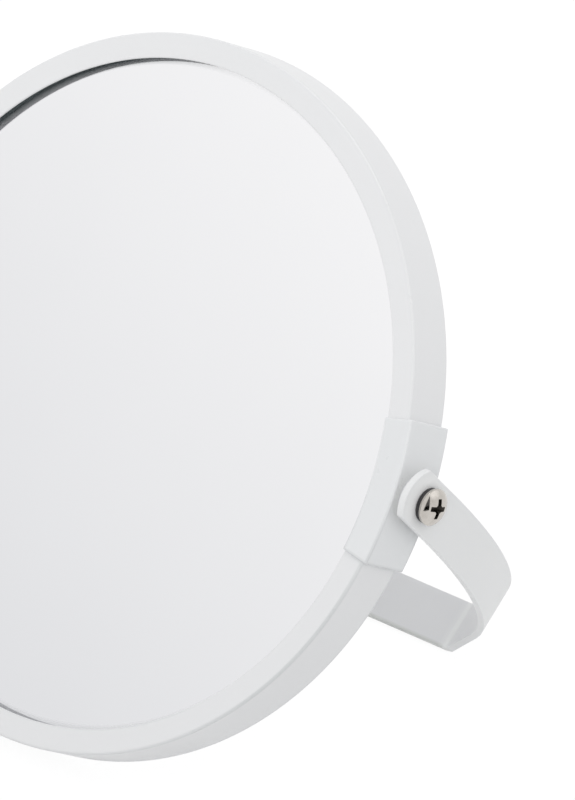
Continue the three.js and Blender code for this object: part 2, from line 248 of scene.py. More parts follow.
def makeFloor():
    half, low = studio["floorSize"] / 2, -studio["floorDrop"]
    corners = [(-half, -half, low), (half, -half, low), (half, half, low), (-half, half, low)]
    floor = meshPiece("floor", corners, [], [(0, 1, 2, 3)])
    paper = bpy.data.materials.new("whitePaperFloor")
    tree = startNodes(paper)
    matt = tree.add("BsdfDiffuse", {"Color": studio["floorColour"]}).outputs[0]
    dark = tree.add("BsdfDiffuse", {"Color": studio["black"]}).outputs[0]
    glow = tree.add("Emission", {"Strength": studio["floorGlow"]}).outputs[0]
    dim = tree.mixShader(1 - studio["floorShadow"], matt, dark)
    added = tree.add("AddShader", {0: dim, 1: glow}).outputs[0]
    seen = tree.mixShader(seenOrMirrored(tree), matt, added)
    strip = openingShare(tree, tree.vector("SUBTRACT", tree.place("Object"), studio["openSideFrom"]))
    unlit = tree.mixShader(tree.times(strip, tree.ray("Is Glossy Ray")), seen, dark)
    tree.add("OutputMaterial", {"Surface": unlit})
    floor.data.materials.append(paper)


def makeLamps():
    aim = Vector(place["pivot"])
    for name, lamp in studio["lamps"].items():
        data = setAll(bpy.data.lights.new(name, "AREA"), shape="DISK", size=lamp["size"], energy=lamp["watts"])
        panel = newPiece(name, data)
        setAll(panel, location=lamp["at"], visible_camera=False, visible_glossy=lamp["mirrored"])
        panel.rotation_euler = (aim - Vector(lamp["at"])).to_track_quat("-Z", "Y").to_euler()


makeWorld()
makeFloor()
makeLamps()
print("studio: floor, tent and", len(studio["lamps"]), "lamps")

# Detail shared by the finishes: noises as scale, detail and roughness, and the ranges drawn from them
detail = {
    "mottleNoise": (4.0, 0.55), "grainNoise": (2.0, 0.5), "flowNoise": (18.0, 2.0, 0.4),
    "glossEdges": (0.3, 0.7), "edgePolish": 0.06, "flowHeight": 0.6,
    "speckEdges": (0.13, 0.05), "cloudNoise": (35.0, 3.0, 0.6), "cloudEdges": (0.52, 0.72),
    "blotchNoise": (500.0, 3.0, 0.6), "platedEdges": (0.35, 0.65),
    "lineStretch": (1.0, 0.08, 0.08), "lineNoise": (3.0, 0.6),
}


# The kind of a group's socket, by the last word of its name
socketKinds = {
    "Vector": "Vector", "Colour": "Color", "Geometry": "Geometry", "Finish": "Material",
    "Path": "Object", "Facets": "Int", "Steps": "Int", "Tabs": "Int", "Size": "Vector",
}


def startGroup(kind, name, insides, outsides):
    group = bpy.data.node_groups.new(name, kind)
    for way, labels in (("INPUT", insides), ("OUTPUT", outsides)):
        for label in labels:
            socket = "NodeSocket" + socketKinds.get(label.split()[-1], "Float")
            group.interface.new_socket(name=label, in_out=way, socket_type=socket)
    return Tree(group), group.nodes.new("NodeGroupInput").outputs, group.nodes.new("NodeGroupOutput").inputs


# Shader groups that several finishes share
def makeMouldedSkin():
    tree, given, out = startGroup("ShaderNodeTree", "mouldedSkin", [
        "Vector", "Colour", "Shade Colour", "Edge Colour", "Edge",
        "Mottle Scale", "Grain Scale", "Roughness Low", "Roughness High",
    ], ["Colour", "Roughness", "Height"])
    mottle = tree.noise(given["Vector"], given["Mottle Scale"], *detail["mottleNoise"])
    grain = tree.noise(given["Vector"], given["Grain Scale"], *detail["grainNoise"])
    flow = tree.noise(given["Vector"], *detail["flowNoise"])
    toned = tree.mixColour(mottle, given["Shade Colour"], given["Colour"])
    # Edges take the edge colour: wear, and on the hoop painted shade over its rounded edges
    edgeWearAndShade = tree.times(given["Edge"], flow)
    tree.plug(tree.mixColour(edgeWearAndShade, toned, given["Edge Colour"]), out["Colour"])
    gloss = tree.range(mottle, detail["glossEdges"], (given["Roughness Low"], given["Roughness High"]))
    smoothed = tree.times(given["Edge"], detail["edgePolish"])
    tree.plug(tree.math("SUBTRACT", gloss, smoothed), out["Roughness"])
    swell = tree.times(flow, detail["flowHeight"])
    tree.plug(tree.math("ADD", swell, grain), out["Height"])
    return tree


def makeDustAndScuffs():
    tree, given, out = startGroup("ShaderNodeTree", "dustAndScuffs", [
        "Vector", "Colour", "Dust Colour", "Amount", "Speck Scale", "Roughness",
    ], ["Colour", "Roughness"])
    specks = tree.range(tree.cells(given["Vector"], given["Speck Scale"]), detail["speckEdges"])
    patches = tree.range(tree.noise(given["Vector"], *detail["cloudNoise"]), detail["cloudEdges"])
    mask = tree.times(tree.times(specks, patches), given["Amount"])
    tree.plug(tree.mixColour(mask, given["Colour"], given["Dust Colour"]), out["Colour"])
    tree.plug(tree.math("ADD", given["Roughness"], mask), out["Roughness"])
    return tree


def makePlatedMetal():
    tree, given, out = startGroup("ShaderNodeTree", "platedMetal", [
        "Vector", "Colour", "Dull Colour", "Line Scale", "Roughness Low", "Roughness High",
    ], ["Colour", "Roughness", "Height"])
    blotch = tree.noise(given["Vector"], *detail["blotchNoise"])
    stretched = tree.add("Mapping", {"Vector": given["Vector"], "Scale": detail["lineStretch"]})
    lines = tree.noise(stretched.outputs["Vector"], given["Line Scale"], *detail["lineNoise"])
    tree.plug(tree.mixColour(blotch, given["Dull Colour"], given["Colour"]), out["Colour"])
    gloss = tree.range(blotch, detail["platedEdges"], (given["Roughness High"], given["Roughness Low"]))
    tree.plug(gloss, out["Roughness"])
    tree.plug(lines, out["Height"])
    return tree


mouldedSkin = makeMouldedSkin()
dustAndScuffs = makeDustAndScuffs()
platedMetal = makePlatedMetal()


def startFinish(name):
    finish = bpy.data.materials.new(name)
    tree = startNodes(finish)
    shader = tree.add("BsdfPrincipled")
    tree.add("OutputMaterial", {"Surface": shader.outputs[0]})
    return finish, tree, shader.inputs, tree.place("Object")


def placeGroup(tree, group, *values):
    node = tree.add("Group", node_tree=group.block)
    for value, socket in zip(values, node.inputs):
        tree.plug(value, socket)
    return node.outputs


def addDust(tree, shader, where, colour, rough, amount, specks=700.0, settled=(0.6, 0.58, 0.55)):
    dusted = placeGroup(tree, dustAndScuffs, where, colour, settled, amount, specks, rough)
    tree.plug(dusted["Colour"], shader["Base Color"])
    tree.plug(dusted["Roughness"], shader["Roughness"])


def addBump(tree, shader, height, strength, distance):
    bump = tree.add("Bump", {"Strength": strength, "Distance": distance, "Height": height})
    tree.plug(bump.outputs["Normal"], shader["Normal"])


# Shares of the tones laid over a plastic: painted shade darkens it a little towards the bottom
def lowShadeShare(tree, where, heights, most):
    return tree.range(tree.split(where)["Z"], heights, (most, 0.0))


# Painted shade along the outer edges, most of all below the joint, for the darker reflection in the rounded edges
# there
def edgeShadeShare(tree, where, height, spread=(10 * mm, 40 * mm), outside=0.0):
    offset = tree.math("SUBTRACT", tree.split(where)["Z"], height)
    near = tree.range(tree.math("ABSOLUTE", offset), spread, (1.0, 0.0))
    out = tree.math("GREATER_THAN", tree.vector("DISTANCE", where, place["pivot"]), outside)
    return tree.times(tree.times(tree.share("edgeShare"), out), near)


# Painted light beside the turning joint: the plastic there is made paler, lifting the shade around the screw head
# and the strap's end
def jointLightShare(tree, where, spread, above, outside=0.0):
    across = tree.vector("SUBTRACT", where, place["pivot"])
    away = tree.vector("LENGTH", tree.vector("MULTIPLY", across, (0, 1, 1)))
    offset = tree.split(across)
    upper = tree.times(tree.range(away, spread, (1.0, 0.0)), tree.range(offset["Z"], above))
    return tree.times(upper, tree.math("GREATER_THAN", tree.math("ABSOLUTE", offset["X"]), outside))


# Painted highlight along the strap's bend: the plastic there is made paler
def bendHighlightShare(tree, where):
    return tree.share("bendShare")


plastics = {
    "hoopWhite": {
        # The hoop's darker edge colour is painted shade over its rounded edges, where a highlight would fall
        "colour": (0.842, 0.842, 0.852), "shade": (0.824, 0.825, 0.836), "edge": (0.79, 0.792, 0.80),
        "tones": [
            # painted shade: the hoop darker towards the bottom
            ((0.74, 0.74, 0.752), lowShadeShare, {"heights": (5 * mm, 130 * mm), "most": 0.5}),
            # painted shade along the hoop's lower outer edges
            ((0.655, 0.668, 0.675), edgeShadeShare, {"height": 45 * mm, "outside": 82 * mm}),
        ],
        "rough": (0.3, 0.4), "mottle": 55.0, "grain": 1500.0, "dust": 0.05, "bump": 0.07,
    },
    "clipWhite": {
        "colour": (0.805, 0.813, 0.825), "shade": (0.787, 0.796, 0.807), "edge": (0.842, 0.848, 0.858),
        "tones": [
            # painted shade along the clip's lower edges
            ((0.63, 0.64, 0.65), edgeShadeShare, {"height": 50 * mm}),
            # painted light on the clip beside the strap's end
            ((0.96, 0.965, 0.97), jointLightShare, {
                "spread": (8.4 * mm, 13 * mm), "above": (1.5 * mm, 4.5 * mm), "outside": 86.6 * mm,
            }),
        ],
        "rough": (0.26, 0.36), "mottle": 90.0, "grain": 1700.0, "dust": 0.05, "bump": 0.06,
    },
    "strapWhite": {
        "colour": (0.815, 0.818, 0.823), "shade": (0.792, 0.796, 0.802), "edge": (0.84, 0.843, 0.848),
        "tones": [
            # painted shade: the strap darker towards the bottom
            ((0.73, 0.735, 0.75), lowShadeShare, {"heights": (2 * mm, 55 * mm), "most": 0.5}),
            # painted shade: a dark line along the strap's lowest edge, where it faces the table
            ((0.65, 0.665, 0.645), lowShadeShare, {"heights": (1.45 * mm, 1.85 * mm), "most": 0.95}),
            # painted light on the strap round the screw head
            ((0.96, 0.96, 0.96), jointLightShare, {"spread": (4.4 * mm, 7.8 * mm), "above": (-3 * mm, 0.0)}),
            # painted highlight along the strap's bend
            ((0.85, 0.858, 0.855), bendHighlightShare, {}),
        ],
        "rough": (0.34, 0.46), "mottle": 70.0, "grain": 1300.0, "dust": 0.07, "bump": 0.09,
    },
    "naturalNylon": {
        "colour": (0.74, 0.72, 0.66), "shade": (0.69, 0.67, 0.60), "edge": (0.80, 0.78, 0.72), "tones": [],
        "rough": (0.48, 0.6), "mottle": 120.0, "grain": 1900.0, "dust": 0.04, "bump": 0.2,
    },
    "blackFibre": {
        "colour": (0.018, 0.017, 0.02), "shade": (0.010, 0.010, 0.012), "edge": (0.05, 0.048, 0.05), "tones": [],
        "rough": (0.5, 0.7), "mottle": 600.0, "grain": 3200.0, "dust": 0.1, "bump": 0.4,
    },
}


def makePlastic(name, look):
    finish, tree, shader, where = startFinish(name)
    tones = (*pick(look, "colour shade edge"), tree.share("edgeShare"))
    skin = placeGroup(tree, mouldedSkin, where, *tones, *pick(look, "mottle grain"), *look["rough"])
    colour = skin["Colour"]
    for tone, share, values in look["tones"]:
        colour = tree.mixColour(share(tree, where, **values), colour, tone)
    addDust(tree, shader, where, colour, skin["Roughness"], look["dust"])
    addBump(tree, shader, skin["Height"], look["bump"], distance=0.05 * mm)
    return finish


metals = {
    "nickelPlate": {
        "colour": (0.645, 0.615, 0.58), "dull": (0.43, 0.40, 0.365),
        "rough": (0.07, 0.16), "lines": 2500.0, "bump": 0.04,
    },
    # Painted shade: the screw's recess is near black, for the deep shade inside it
    "recessGrime": {
        "colour": (0.085, 0.078, 0.07), "dull": (0.04, 0.036, 0.032),
        "rough": (0.45, 0.65), "lines": 2500.0, "bump": 0.3,
    },
    "zincPlate": {
        "colour": (0.62, 0.64, 0.66), "dull": (0.48, 0.49, 0.50),
        "rough": (0.3, 0.42), "lines": 900.0, "bump": 0.25,
    },
}


def makeMetal(name, look):
    finish, tree, shader, where = startFinish(name)
    plate = placeGroup(tree, platedMetal, where, *pick(look, "colour dull lines"), *look["rough"])
    addDust(tree, shader, where, plate["Colour"], plate["Roughness"], amount=0.15, specks=2500.0)
    shader["Metallic"].default_value = 1.0
    addBump(tree, shader, plate["Height"], look["bump"], distance=0.02 * mm)
    return finish


# The silvering's border is darker, most of all at the upper left: partly the glass's own dark edge, partly painted
# shade for the lip's shaded underside seen in the mirror
silvering = {
    # The third colour is a painted reflection: the silvering dimmed towards the lower left
    "colour": (0.936, 0.933, 0.943), "shade": (0.918, 0.915, 0.926), "dimReflection": (0.733, 0.738, 0.757),
    "streaks": {"Rotation": (0.2, 0.6, 0), "Scale": (1.0, 1.0, 0.45)}, "hazeNoise": (26.0, 5.0, 0.62),
    "driftNoise": (14.0, 3.0, 0.5), "drift": 0.12, "lowWay": (-0.45, 0, -0.9), "dimReflectionEdges": (-95 * mm, 95 * mm),
    "borderTop": (0.15, 0.175, 0.18), "borderLow": (0.78, 0.80, 0.81), "borderEdges": (77.7 * mm, 79.3 * mm),
    "lowEdges": (20 * mm, 75 * mm), "rightEdges": (-34 * mm, -2 * mm),
    "smudgeNoise": (9.0, 3.0, 0.5), "rough": (0.006, 0.03),
    "dust": {"amount": 0.03, "specks": 420.0, "settled": (0.7, 0.7, 0.7)},
    "dullEdges": (77.4 * mm, 78.4 * mm), "dullEnds": (0.2, 0.5),
}


def makeSilvering():
    look = silvering
    finish, tree, shader, where = startFinish("silveredGlass")
    streaks = tree.add("Mapping", {"Vector": where, **look["streaks"]})
    haze = tree.noise(streaks.outputs["Vector"], *look["hazeNoise"])
    cleared = tree.mixColour(haze, look["shade"], look["colour"])
    disc = {"Vector": where, "Location": discPlace.to_translation(), "Rotation": discPlace.to_euler()}
    local = tree.add("Mapping", disc, vector_type="TEXTURE").outputs["Vector"]
    reach = tree.vector("LENGTH", tree.vector("MULTIPLY", local, (1, 0, 1)))
    # Painted reflection: the silvering is dimmed towards the lower left
    low = tree.vector("DOT_PRODUCT", local, look["lowWay"])
    drift = tree.times(tree.noise(where, *look["driftNoise"]), look["drift"])
    dimReflectionShare = tree.math("ADD", tree.range(low, look["dimReflectionEdges"]), drift)
    dimReflection = tree.mixColour(dimReflectionShare, cleared, look["dimReflection"])
    lowSide = tree.range(low, look["lowEdges"])
    # Painted shade at the border, darkest at the upper left
    border = tree.mixColour(lowSide, look["borderTop"], look["borderLow"])
    leftSide = tree.range(tree.split(local)["X"], look["rightEdges"], (1.0, 0.0))
    rim = tree.times(tree.range(reach, look["borderEdges"]), leftSide)
    rough = tree.range(tree.noise(where, *look["smudgeNoise"]), (0.0, 1.0), look["rough"])
    addDust(tree, shader, where, tree.mixColour(rim, dimReflection, border), rough, **look["dust"])
    dull = tree.range(reach, look["dullEdges"], curve="SMOOTHSTEP")
    worn = tree.times(dull, tree.mixValue(lowSide, *look["dullEnds"]))
    tree.plug(tree.math("SUBTRACT", 1.0, worn), shader["Metallic"])
    return finish


foam = {
    "cells": 1600.0, "toneNoise": (240.0, 3.0, 0.6), "rough": (0.85, 1.0),
    "dark": (0.20, 0.20, 0.195), "light": (0.30, 0.30, 0.29),
}


def makeFoamFinish():
    finish, tree, shader, where = startFinish("closedCellFoam")
    cells = tree.cells(where, foam["cells"])
    tone = tree.noise(where, *foam["toneNoise"])
    tree.plug(tree.mixColour(tone, foam["dark"], foam["light"]), shader["Base Color"])
    tree.plug(tree.range(cells, (0.0, 1.0), foam["rough"]), shader["Roughness"])
    addBump(tree, shader, cells, strength=0.6, distance=0.2 * mm)
    return finish


finishes = {name: makePlastic(name, look) for name, look in plastics.items()}
finishes.update({name: makeMetal(name, look) for name, look in metals.items()})
finishes["silveredGlass"] = makeSilvering()
finishes["closedCellFoam"] = makeFoamFinish()
print("finishes:", ", ".join(sorted(finishes)))


def startTree(name, *insides):
    return startGroup("GeometryNodeTree", name, ["Geometry", *insides, "Finish"], ["Geometry"])


def endTree(tree, given, out, geometry):
    whole = tree.step("RealizeInstances", {0: geometry})
    tree.plug(tree.step("SetMaterial", {"Geometry": whole, "Material": given["Finish"]}), out[0])
    return tree


# The section lies in the piece's own mesh, x for radius and -y for height, and is turned about Z
turning = {"core": 1 * mm, "merge": 0.001 * mm}


def makeTurnedTree():
    tree, given, out = startTree("turnedSection", "Facets")
    section = tree.step("MeshToCurve", {"Mesh": given["Geometry"]})
    circle = tree.step("CurvePrimitiveCircle", {"Resolution": given["Facets"], "Radius": turning["core"]})
    solid = tree.step("CurveToMesh", {"Curve": circle, "Profile Curve": section})
    closed = tree.step("MergeByDistance", {"Geometry": solid, "Distance": turning["merge"]})
    return endTree(tree, given, out, closed)


# A flat blank, x along the strap, y across it and z through it, is laid along a bent path
def makeBentTree():
    tree, given, out = startTree("bentBlank", "Path", "Bend Steps")
    bent = tree.step("FilletCurve", {
        "Curve": tree.add("ObjectInfo", {"Object": given["Path"]}, "GeometryNode").outputs["Geometry"],
        "Count": given["Bend Steps"],
        "Radius": tree.step("InputRadius"),
    }, mode="POLY")
    flat = tree.split(tree.step("InputPosition"))
    half = tree.times(tree.step("CurveLength", {"Curve": bent}), 0.5)
    sample = tree.add("SampleCurve", {
        "Curves": bent,
        "Length": tree.math("ADD", half, flat["X"]),
    }, "GeometryNode", mode="LENGTH", use_all_curves=True).outputs
    normal = tree.vector("NORMALIZE", tree.vector("CROSS_PRODUCT", (0, 1, 0), sample["Tangent"]))
    raised = tree.add("VectorMath", {0: normal, "Scale": flat["Z"]}, operation="SCALE").outputs[0]
    across = tree.join(Y=tree.times(flat["Y"], -1.0))
    laid = tree.vector("ADD", tree.vector("ADD", sample["Position"], raised), across)
    return endTree(tree, given, out, tree.step("SetPosition", {"Geometry": given["Geometry"], "Position": laid}))


# A ring given as the piece's mesh, with box tabs standing out all round it
def makeTabbedTree():
    tree, given, out = startTree("tabbedRing", "Tabs", "Tab Size", "Tab Centre")
    step = tree.math("DIVIDE", 2 * pi, given["Tabs"])
    copies = tree.step("InstanceOnPoints", {
        "Points": tree.step("MeshCircle", {"Vertices": given["Tabs"], "Radius": given["Tab Centre"]}),
        "Instance": tree.step("MeshCube", {"Size": given["Tab Size"]}),
        "Rotation": tree.join(Z=tree.times(tree.step("InputIndex"), step)),
    })
    half = tree.join(Z=tree.times(step, 0.5))
    between = tree.step("Transform", {"Geometry": copies, "Rotation": half})
    ring = {"Mesh 2": given["Geometry"]}
    union = tree.add("MeshBoolean", ring, "GeometryNode", operation="UNION", solver="EXACT")
    tree.plug(tree.step("RealizeInstances", {0: between}), union.inputs["Mesh 2"])
    return endTree(tree, given, out, union.outputs["Mesh"])


turnedTree = makeTurnedTree()
bentTree = makeBentTree()
tabbedTree = makeTabbedTree()


def settle(piece):
    bpy.context.view_layer.update()
    depsgraph = bpy.context.evaluated_depsgraph_get()
    mesh = bpy.data.meshes.new_from_object(piece.evaluated_get(depsgraph))
    piece.modifiers.clear()
    old = piece.data
    piece.data = mesh
    bpy.data.meshes.remove(old)
    mesh.name = piece.name


def modify(piece, kind, **settings):
    setAll(piece.modifiers.new("step", kind), **settings)
    settle(piece)


def runTree(piece, tree, *values):
    step = setAll(piece.modifiers.new("tree", "NODES"), node_group=tree.block)
    inputs = [item for item in tree.block.interface.items_tree if item.in_out == "INPUT"]
    for item, value in zip(inputs[1:], values):
        step[item.identifier] = value
    settle(piece)


def joinSolid(piece, other, operation):
    if not other.data.materials:
        other.data.materials.append(piece.data.materials[0])
    modify(piece, "BOOLEAN", operation=operation, solver="EXACT", material_mode="TRANSFER", object=other)
    bpy.data.objects.remove(other)


def arc(centreRadius, centreHeight, radius, start, end, steps):
    points = []
    for i in range(steps + 1):
        angle = radians(start + (end - start) * i / steps)
        points.append((centreRadius + radius * cos(angle), centreHeight + radius * sin(angle)))
    return points


def quarter(centreRadius, centreHeight, radius, start, steps):
    return arc(centreRadius, centreHeight, radius, start, start + 90, steps)


def quarterRound(radius, steps):
    angles = [radians(90 * i / steps) for i in range(steps + 1)]
    return [(radius * (1 - sin(angle)), radius * (1 - cos(angle))) for angle in angles]


def endMesh(work, name, finish=None):
    bmesh.ops.recalc_face_normals(work, faces=work.faces)
    mesh = bpy.data.meshes.new(name)
    work.to_mesh(mesh)
    work.free()
    if finish:
        mesh.materials.append(finishes[finish])
    return newPiece(name, mesh)


def bridgeRings(work, rings):
    for first, second in zip(rings, rings[1:]):
        for k in range(len(first)):
            j = (k + 1) % len(first)
            work.faces.new((first[k], first[j], second[j], second[k]))


def faceOut(piece):
    work = bmesh.new()
    work.from_mesh(piece.data)
    bmesh.ops.recalc_face_normals(work, faces=work.faces)
    work.to_mesh(piece.data)
    work.free()


def turned(name, section, facets, finish, matrix=Matrix()):
    count, closed = len(section), section[0][0] > 0
    edges = [(i, (i + 1) % count) for i in range(count if closed else count - 1)]
    piece = meshPiece(name, [(radius - turning["core"], -height, 0) for radius, height in section], edges, [])
    runTree(piece, turnedTree, facets, finishes[finish])
    faceOut(piece)
    piece.data.transform(matrix)
    return piece


def rod(radius, start, end):
    section = [(0, start), (radius, start), (radius, end), (0, end)]
    return turned("drill", section, facets=64, finish="zincPlate")


# How tightly the surface bends outwards at each point, for worn edges and painted edge shade: 1 at a radius of 0.5
# mm
def markEdges(mesh):
    points = np.array([tuple(vertex.co) for vertex in mesh.vertices])
    normals = np.array([tuple(vertex.normal) for vertex in mesh.vertices])
    pairs = np.array([tuple(edge.vertices) for edge in mesh.edges])
    spans = points[pairs[:, 0]] - points[pairs[:, 1]]
    lengths = np.maximum((spans ** 2).sum(1), 1e-10)
    tightest = np.zeros(len(mesh.vertices))
    for end, sign in ((0, 1.0), (1, -1.0)):
        bend = 2 * sign * (normals[pairs[:, end]] * spans).sum(1) / lengths
        np.maximum.at(tightest, pairs[:, end], bend)
    layer = mesh.attributes.new("edgeShare", "FLOAT", "POINT")
    layer.data.foreach_set("value", np.clip(tightest * 0.5 * mm, 0, 1).astype(np.float32))


def finishPiece(piece, node, matrix=discPlace, body="mirror_head", sharpDegrees=35):
    mesh = piece.data
    mesh.transform(matrix)
    mesh.polygons.foreach_set("use_smooth", np.ones(len(mesh.polygons), dtype=bool))
    mesh.set_sharp_from_angle(angle=radians(sharpDegrees))
    mesh.update()
    markEdges(mesh)
    modify(piece, "WEIGHTED_NORMAL", keep_sharp=True)
    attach(piece, body)
    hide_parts(node)
    print("piece:", piece.name, len(piece.data.polygons), "faces")


# Hoop, with a thin lip over the glass and seats for the pivot clips
hoop = millimetres(
    radius=85, halfDepth=6.45, edgeRound=0.6, wallInner=83.2, frontThickness=2, opening=78.9,
    glassSeat=80.6, lipThickness=0.45, lipRound=0.2, grooveFront=4.05, grooveWidth=1, grooveDepth=0.35,
    rimChamfer=0.2, edgeMargin=0.35,
) | {"facets": 360}

clip = millimetres(
    outer=86.4, proudFace=0.7, proudOpening=0.4, wallSide=1.6, wallFace=1.1, edgeRound=0.5,
    endRound=0.3, gap=0.3, seam=0.05, bossRadius=5, bossFace=86.8, bossRound=0.15, hole=2.3,
) | {"spanDegrees": 23.2, "drilled": (78 * mm, 90 * mm), "steps": 60, "bossFacets": 96}

clipMiddle = asin(place["pivotRise"] / clip["outer"])
clipFace = hoop["halfDepth"] + clip["proudFace"]
clipEdge = hoop["opening"] - clip["proudOpening"]


# Section points are swept round the disc's axis, each station with its own section
def sweepRound(name, stations, finish=None):
    work = bmesh.new()
    rings = [
        [work.verts.new((radius * cos(angle), height, radius * sin(angle))) for radius, height in section]
        for angle, section in stations
    ]
    bridgeRings(work, rings)
    for ring in (rings[0], rings[-1]):
        work.faces.new(ring)
    return endMesh(work, name, finish)


def clipSection(inset):
    face, outer, edge = clipFace - inset, clip["outer"] - inset, clipEdge + inset
    bend, margin = clip["edgeRound"] - inset, hoop["edgeMargin"]
    hookFace = clipFace - clip["wallFace"] + inset
    sideInner = clip["outer"] - clip["wallSide"] + inset
    half = (
        quarter(edge + bend, -face + bend, bend, 180, 6)
        + [(edge + bend + margin, -face), (outer - bend - margin, -face)]
        + quarter(outer - bend, -face + bend, bend, 270, 8)
        + [(outer, -face + bend + margin)]
    )
    hooks = [(edge, hookFace), (sideInner, hookFace), (sideInner, -hookFace), (edge, -hookFace)]
    return half + [(radius, -height) for radius, height in reversed(half)] + hooks


def seatCutter():
    out = clip["gap"] + hoop["edgeRound"]
    face, outer, edge = clipFace + out, clip["outer"] + out, clipEdge - out
    coreFace = clipFace - clip["wallFace"] - clip["gap"]
    coreSide = clip["outer"] - clip["wallSide"] - clip["gap"]
    section = [
        (edge, -face), (outer, -face), (outer, face), (edge, face),
        (edge, coreFace), (coreSide, coreFace), (coreSide, -coreFace), (edge, -coreFace),
    ]
    half = radians(clip["spanDegrees"]) / 2 + clip["seam"] / hoop["radius"]
    steps = clip["steps"]
    return sweepRound("seatCutter", [(clipMiddle - half + 2 * half * i / steps, section) for i in range(steps + 1)])


def drillPivot(piece, matrix):
    drill = rod(clip["hole"], *clip["drilled"])
    drill.data.materials.clear()
    drill.data.transform(matrix @ pivotLift @ zToPivotAxis)
    joinSolid(piece, drill, "DIFFERENCE")


def cutSeats(piece, withHoles):
    for side in sides.values():
        cutter = seatCutter()
        cutter.data.transform(side)
        joinSolid(piece, cutter, "DIFFERENCE")
        if withHoles:
            drillPivot(piece, side)


def makeHoop():
    depth, lip, bend, margin = pick(hoop, "halfDepth lipRound edgeRound edgeMargin")
    radius, opening, wall, seat = pick(hoop, "radius opening wallInner glassSeat")
    groove, chamfer = hoop["grooveFront"], hoop["rimChamfer"]
    grooveEnd, grooveFloor = groove + hoop["grooveWidth"], wall + hoop["grooveDepth"]
    ledge, lipBack = -depth + hoop["frontThickness"], -depth + hoop["lipThickness"]
    section = (
        quarter(opening + lip, -depth + lip, lip, 180, 5)
        + [(opening + lip + margin, -depth), (radius - bend - margin, -depth)]
        + quarter(radius - bend, -depth + bend, bend, 270, 12)
        + [(radius, -depth + bend + margin), (radius, depth - bend - margin)]
        + quarter(radius - bend, depth - bend, bend, 0, 12)
        + [
            (wall + chamfer, depth), (wall, depth - chamfer), (wall, grooveEnd), (grooveFloor, grooveEnd),
            (grooveFloor, groove), (wall, groove), (wall, ledge), (seat, ledge), (seat, lipBack), (opening, lipBack),
        ]
    )
    piece = turned("rimHoop", section, hoop["facets"], "hoopWhite", zToDiscAxis)
    cutSeats(piece, True)
    finishPiece(piece, "rim_hoop")


bezel = millimetres(
    outer=82.9, flangeThickness=1.5, skirtWall=1.5, skirtLength=0.8, beadHeight=0.3, halfBead=0.15, edgeRound=0.3,
)


def makeBezel():
    depth, lip, margin, opening = pick(hoop, "halfDepth lipRound edgeMargin opening")
    outer, bend, halfBead, length = pick(bezel, "outer edgeRound halfBead skirtLength")
    flange = depth - bezel["flangeThickness"]
    skirt, skirtInner, bead = flange - length, outer - bezel["skirtWall"], flange - length / 2
    lipBack, seat = depth - hoop["lipThickness"], hoop["glassSeat"]
    section = (
        [(opening, lipBack), (seat, lipBack), (seat, flange), (skirtInner, flange), (skirtInner, skirt)]
        + [(outer, skirt), (outer, bead - halfBead)]
        + arc(outer, bead, bezel["beadHeight"], -60, 60, 6)
        + [(outer, bead + halfBead)]
        + quarter(outer - bend, depth - bend, bend, 0, 6)
        + [(outer - bend - margin, depth), (opening + lip + margin, depth)]
        + quarter(opening + lip, depth - lip, lip, 90, 5)
    )
    piece = turned("rearBezel", section, hoop["facets"], "hoopWhite", zToDiscAxis)
    cutSeats(piece, False)
    finishPiece(piece, "rear_bezel")


# Glasses: the silvered plane lies where it is seen through the glass over it
glass = millimetres(radius=80.3, planeDepth=2.6, back=2.9, bulge=3.2, arris=0.25) | {"rings": 40, "facets": 360}


def dished(radius, reach):
    return glass["bulge"] * (1 - (radius / reach) ** 2)


def makeGlass(name, node, section):
    piece = turned(name, section, glass["facets"], "silveredGlass", zToDiscAxis)
    finishPiece(piece, node, sharpDegrees=20)


def makeFrontGlass():
    face = -hoop["halfDepth"] + glass["planeDepth"]
    radius, arris, back = glass["radius"], glass["arris"], -glass["back"]
    section = [
        (0, face), (radius / 2, face), (radius - arris, face), (radius, face + arris),
        (radius, back - arris), (radius - arris, back), (0, back),
    ]
    makeGlass("frontGlass", "front_glass", section)


def makeRearGlass():
    face = hoop["halfDepth"] - glass["planeDepth"]
    back, arris = glass["back"], glass["arris"]
    usable = glass["radius"] - arris
    radii = [usable * i / glass["rings"] for i in range(glass["rings"] + 1)]
    section = [(radius, back - dished(radius, usable)) for radius in radii]
    section += [(glass["radius"], back + arris), (glass["radius"], face - arris)]
    section += [(radius, face - dished(radius, usable)) for radius in reversed(radii)]
    makeGlass("rearGlass", "rear_glass", section)


# What lies between the glasses
core = millimetres(
    front=-2.6, foamRear=-0.6, foamRadius=68.0, foamRound=0.4, ringInner=75.0, ringOuter=78.6,
    ringChamfer=0.2, tabWidth=6, tabHeight=2, tabStart=76.8, tabEnd=82.84,
) | {"facets": 180, "tabs": 8}


def makeFoam():
    bend, front, rear = pick(core, "foamRound front foamRear")
    edge = core["foamRadius"] - bend
    section = [(0, front)] + quarter(edge, front + bend, bend, 270, 6) + quarter(edge, rear - bend, bend, 0, 6)
    piece = turned("foamPad", section + [(0, rear)], core["facets"], "closedCellFoam", zToDiscAxis)
    finishPiece(piece, "foam_pad")


def makeSpacerRing():
    inner, outer, cut, front = pick(core, "ringInner ringOuter ringChamfer front")
    innerCut, outerCut = inner + cut, outer - cut
    rear = {
        radius: glass["back"] - dished(radius, glass["radius"]) - clip["gap"]
        for radius in (inner, innerCut, outerCut, outer)
    }
    section = [
        (innerCut, front), (outerCut, front), (outer, front + cut), (outer, rear[outer] - cut),
        (outerCut, rear[outerCut]), (innerCut, rear[innerCut]), (inner, rear[inner] - cut), (inner, front + cut),
    ]
    piece = turned("spacerRing", section, core["facets"], "naturalNylon")
    reach = core["tabEnd"] - core["tabStart"]
    tab = (reach, *pick(core, "tabWidth tabHeight"))
    runTree(piece, tabbedTree, core["tabs"], tab, core["tabStart"] + reach / 2, finishes["naturalNylon"])
    piece.data.transform(zToDiscAxis)
    finishPiece(piece, "spacer_ring")


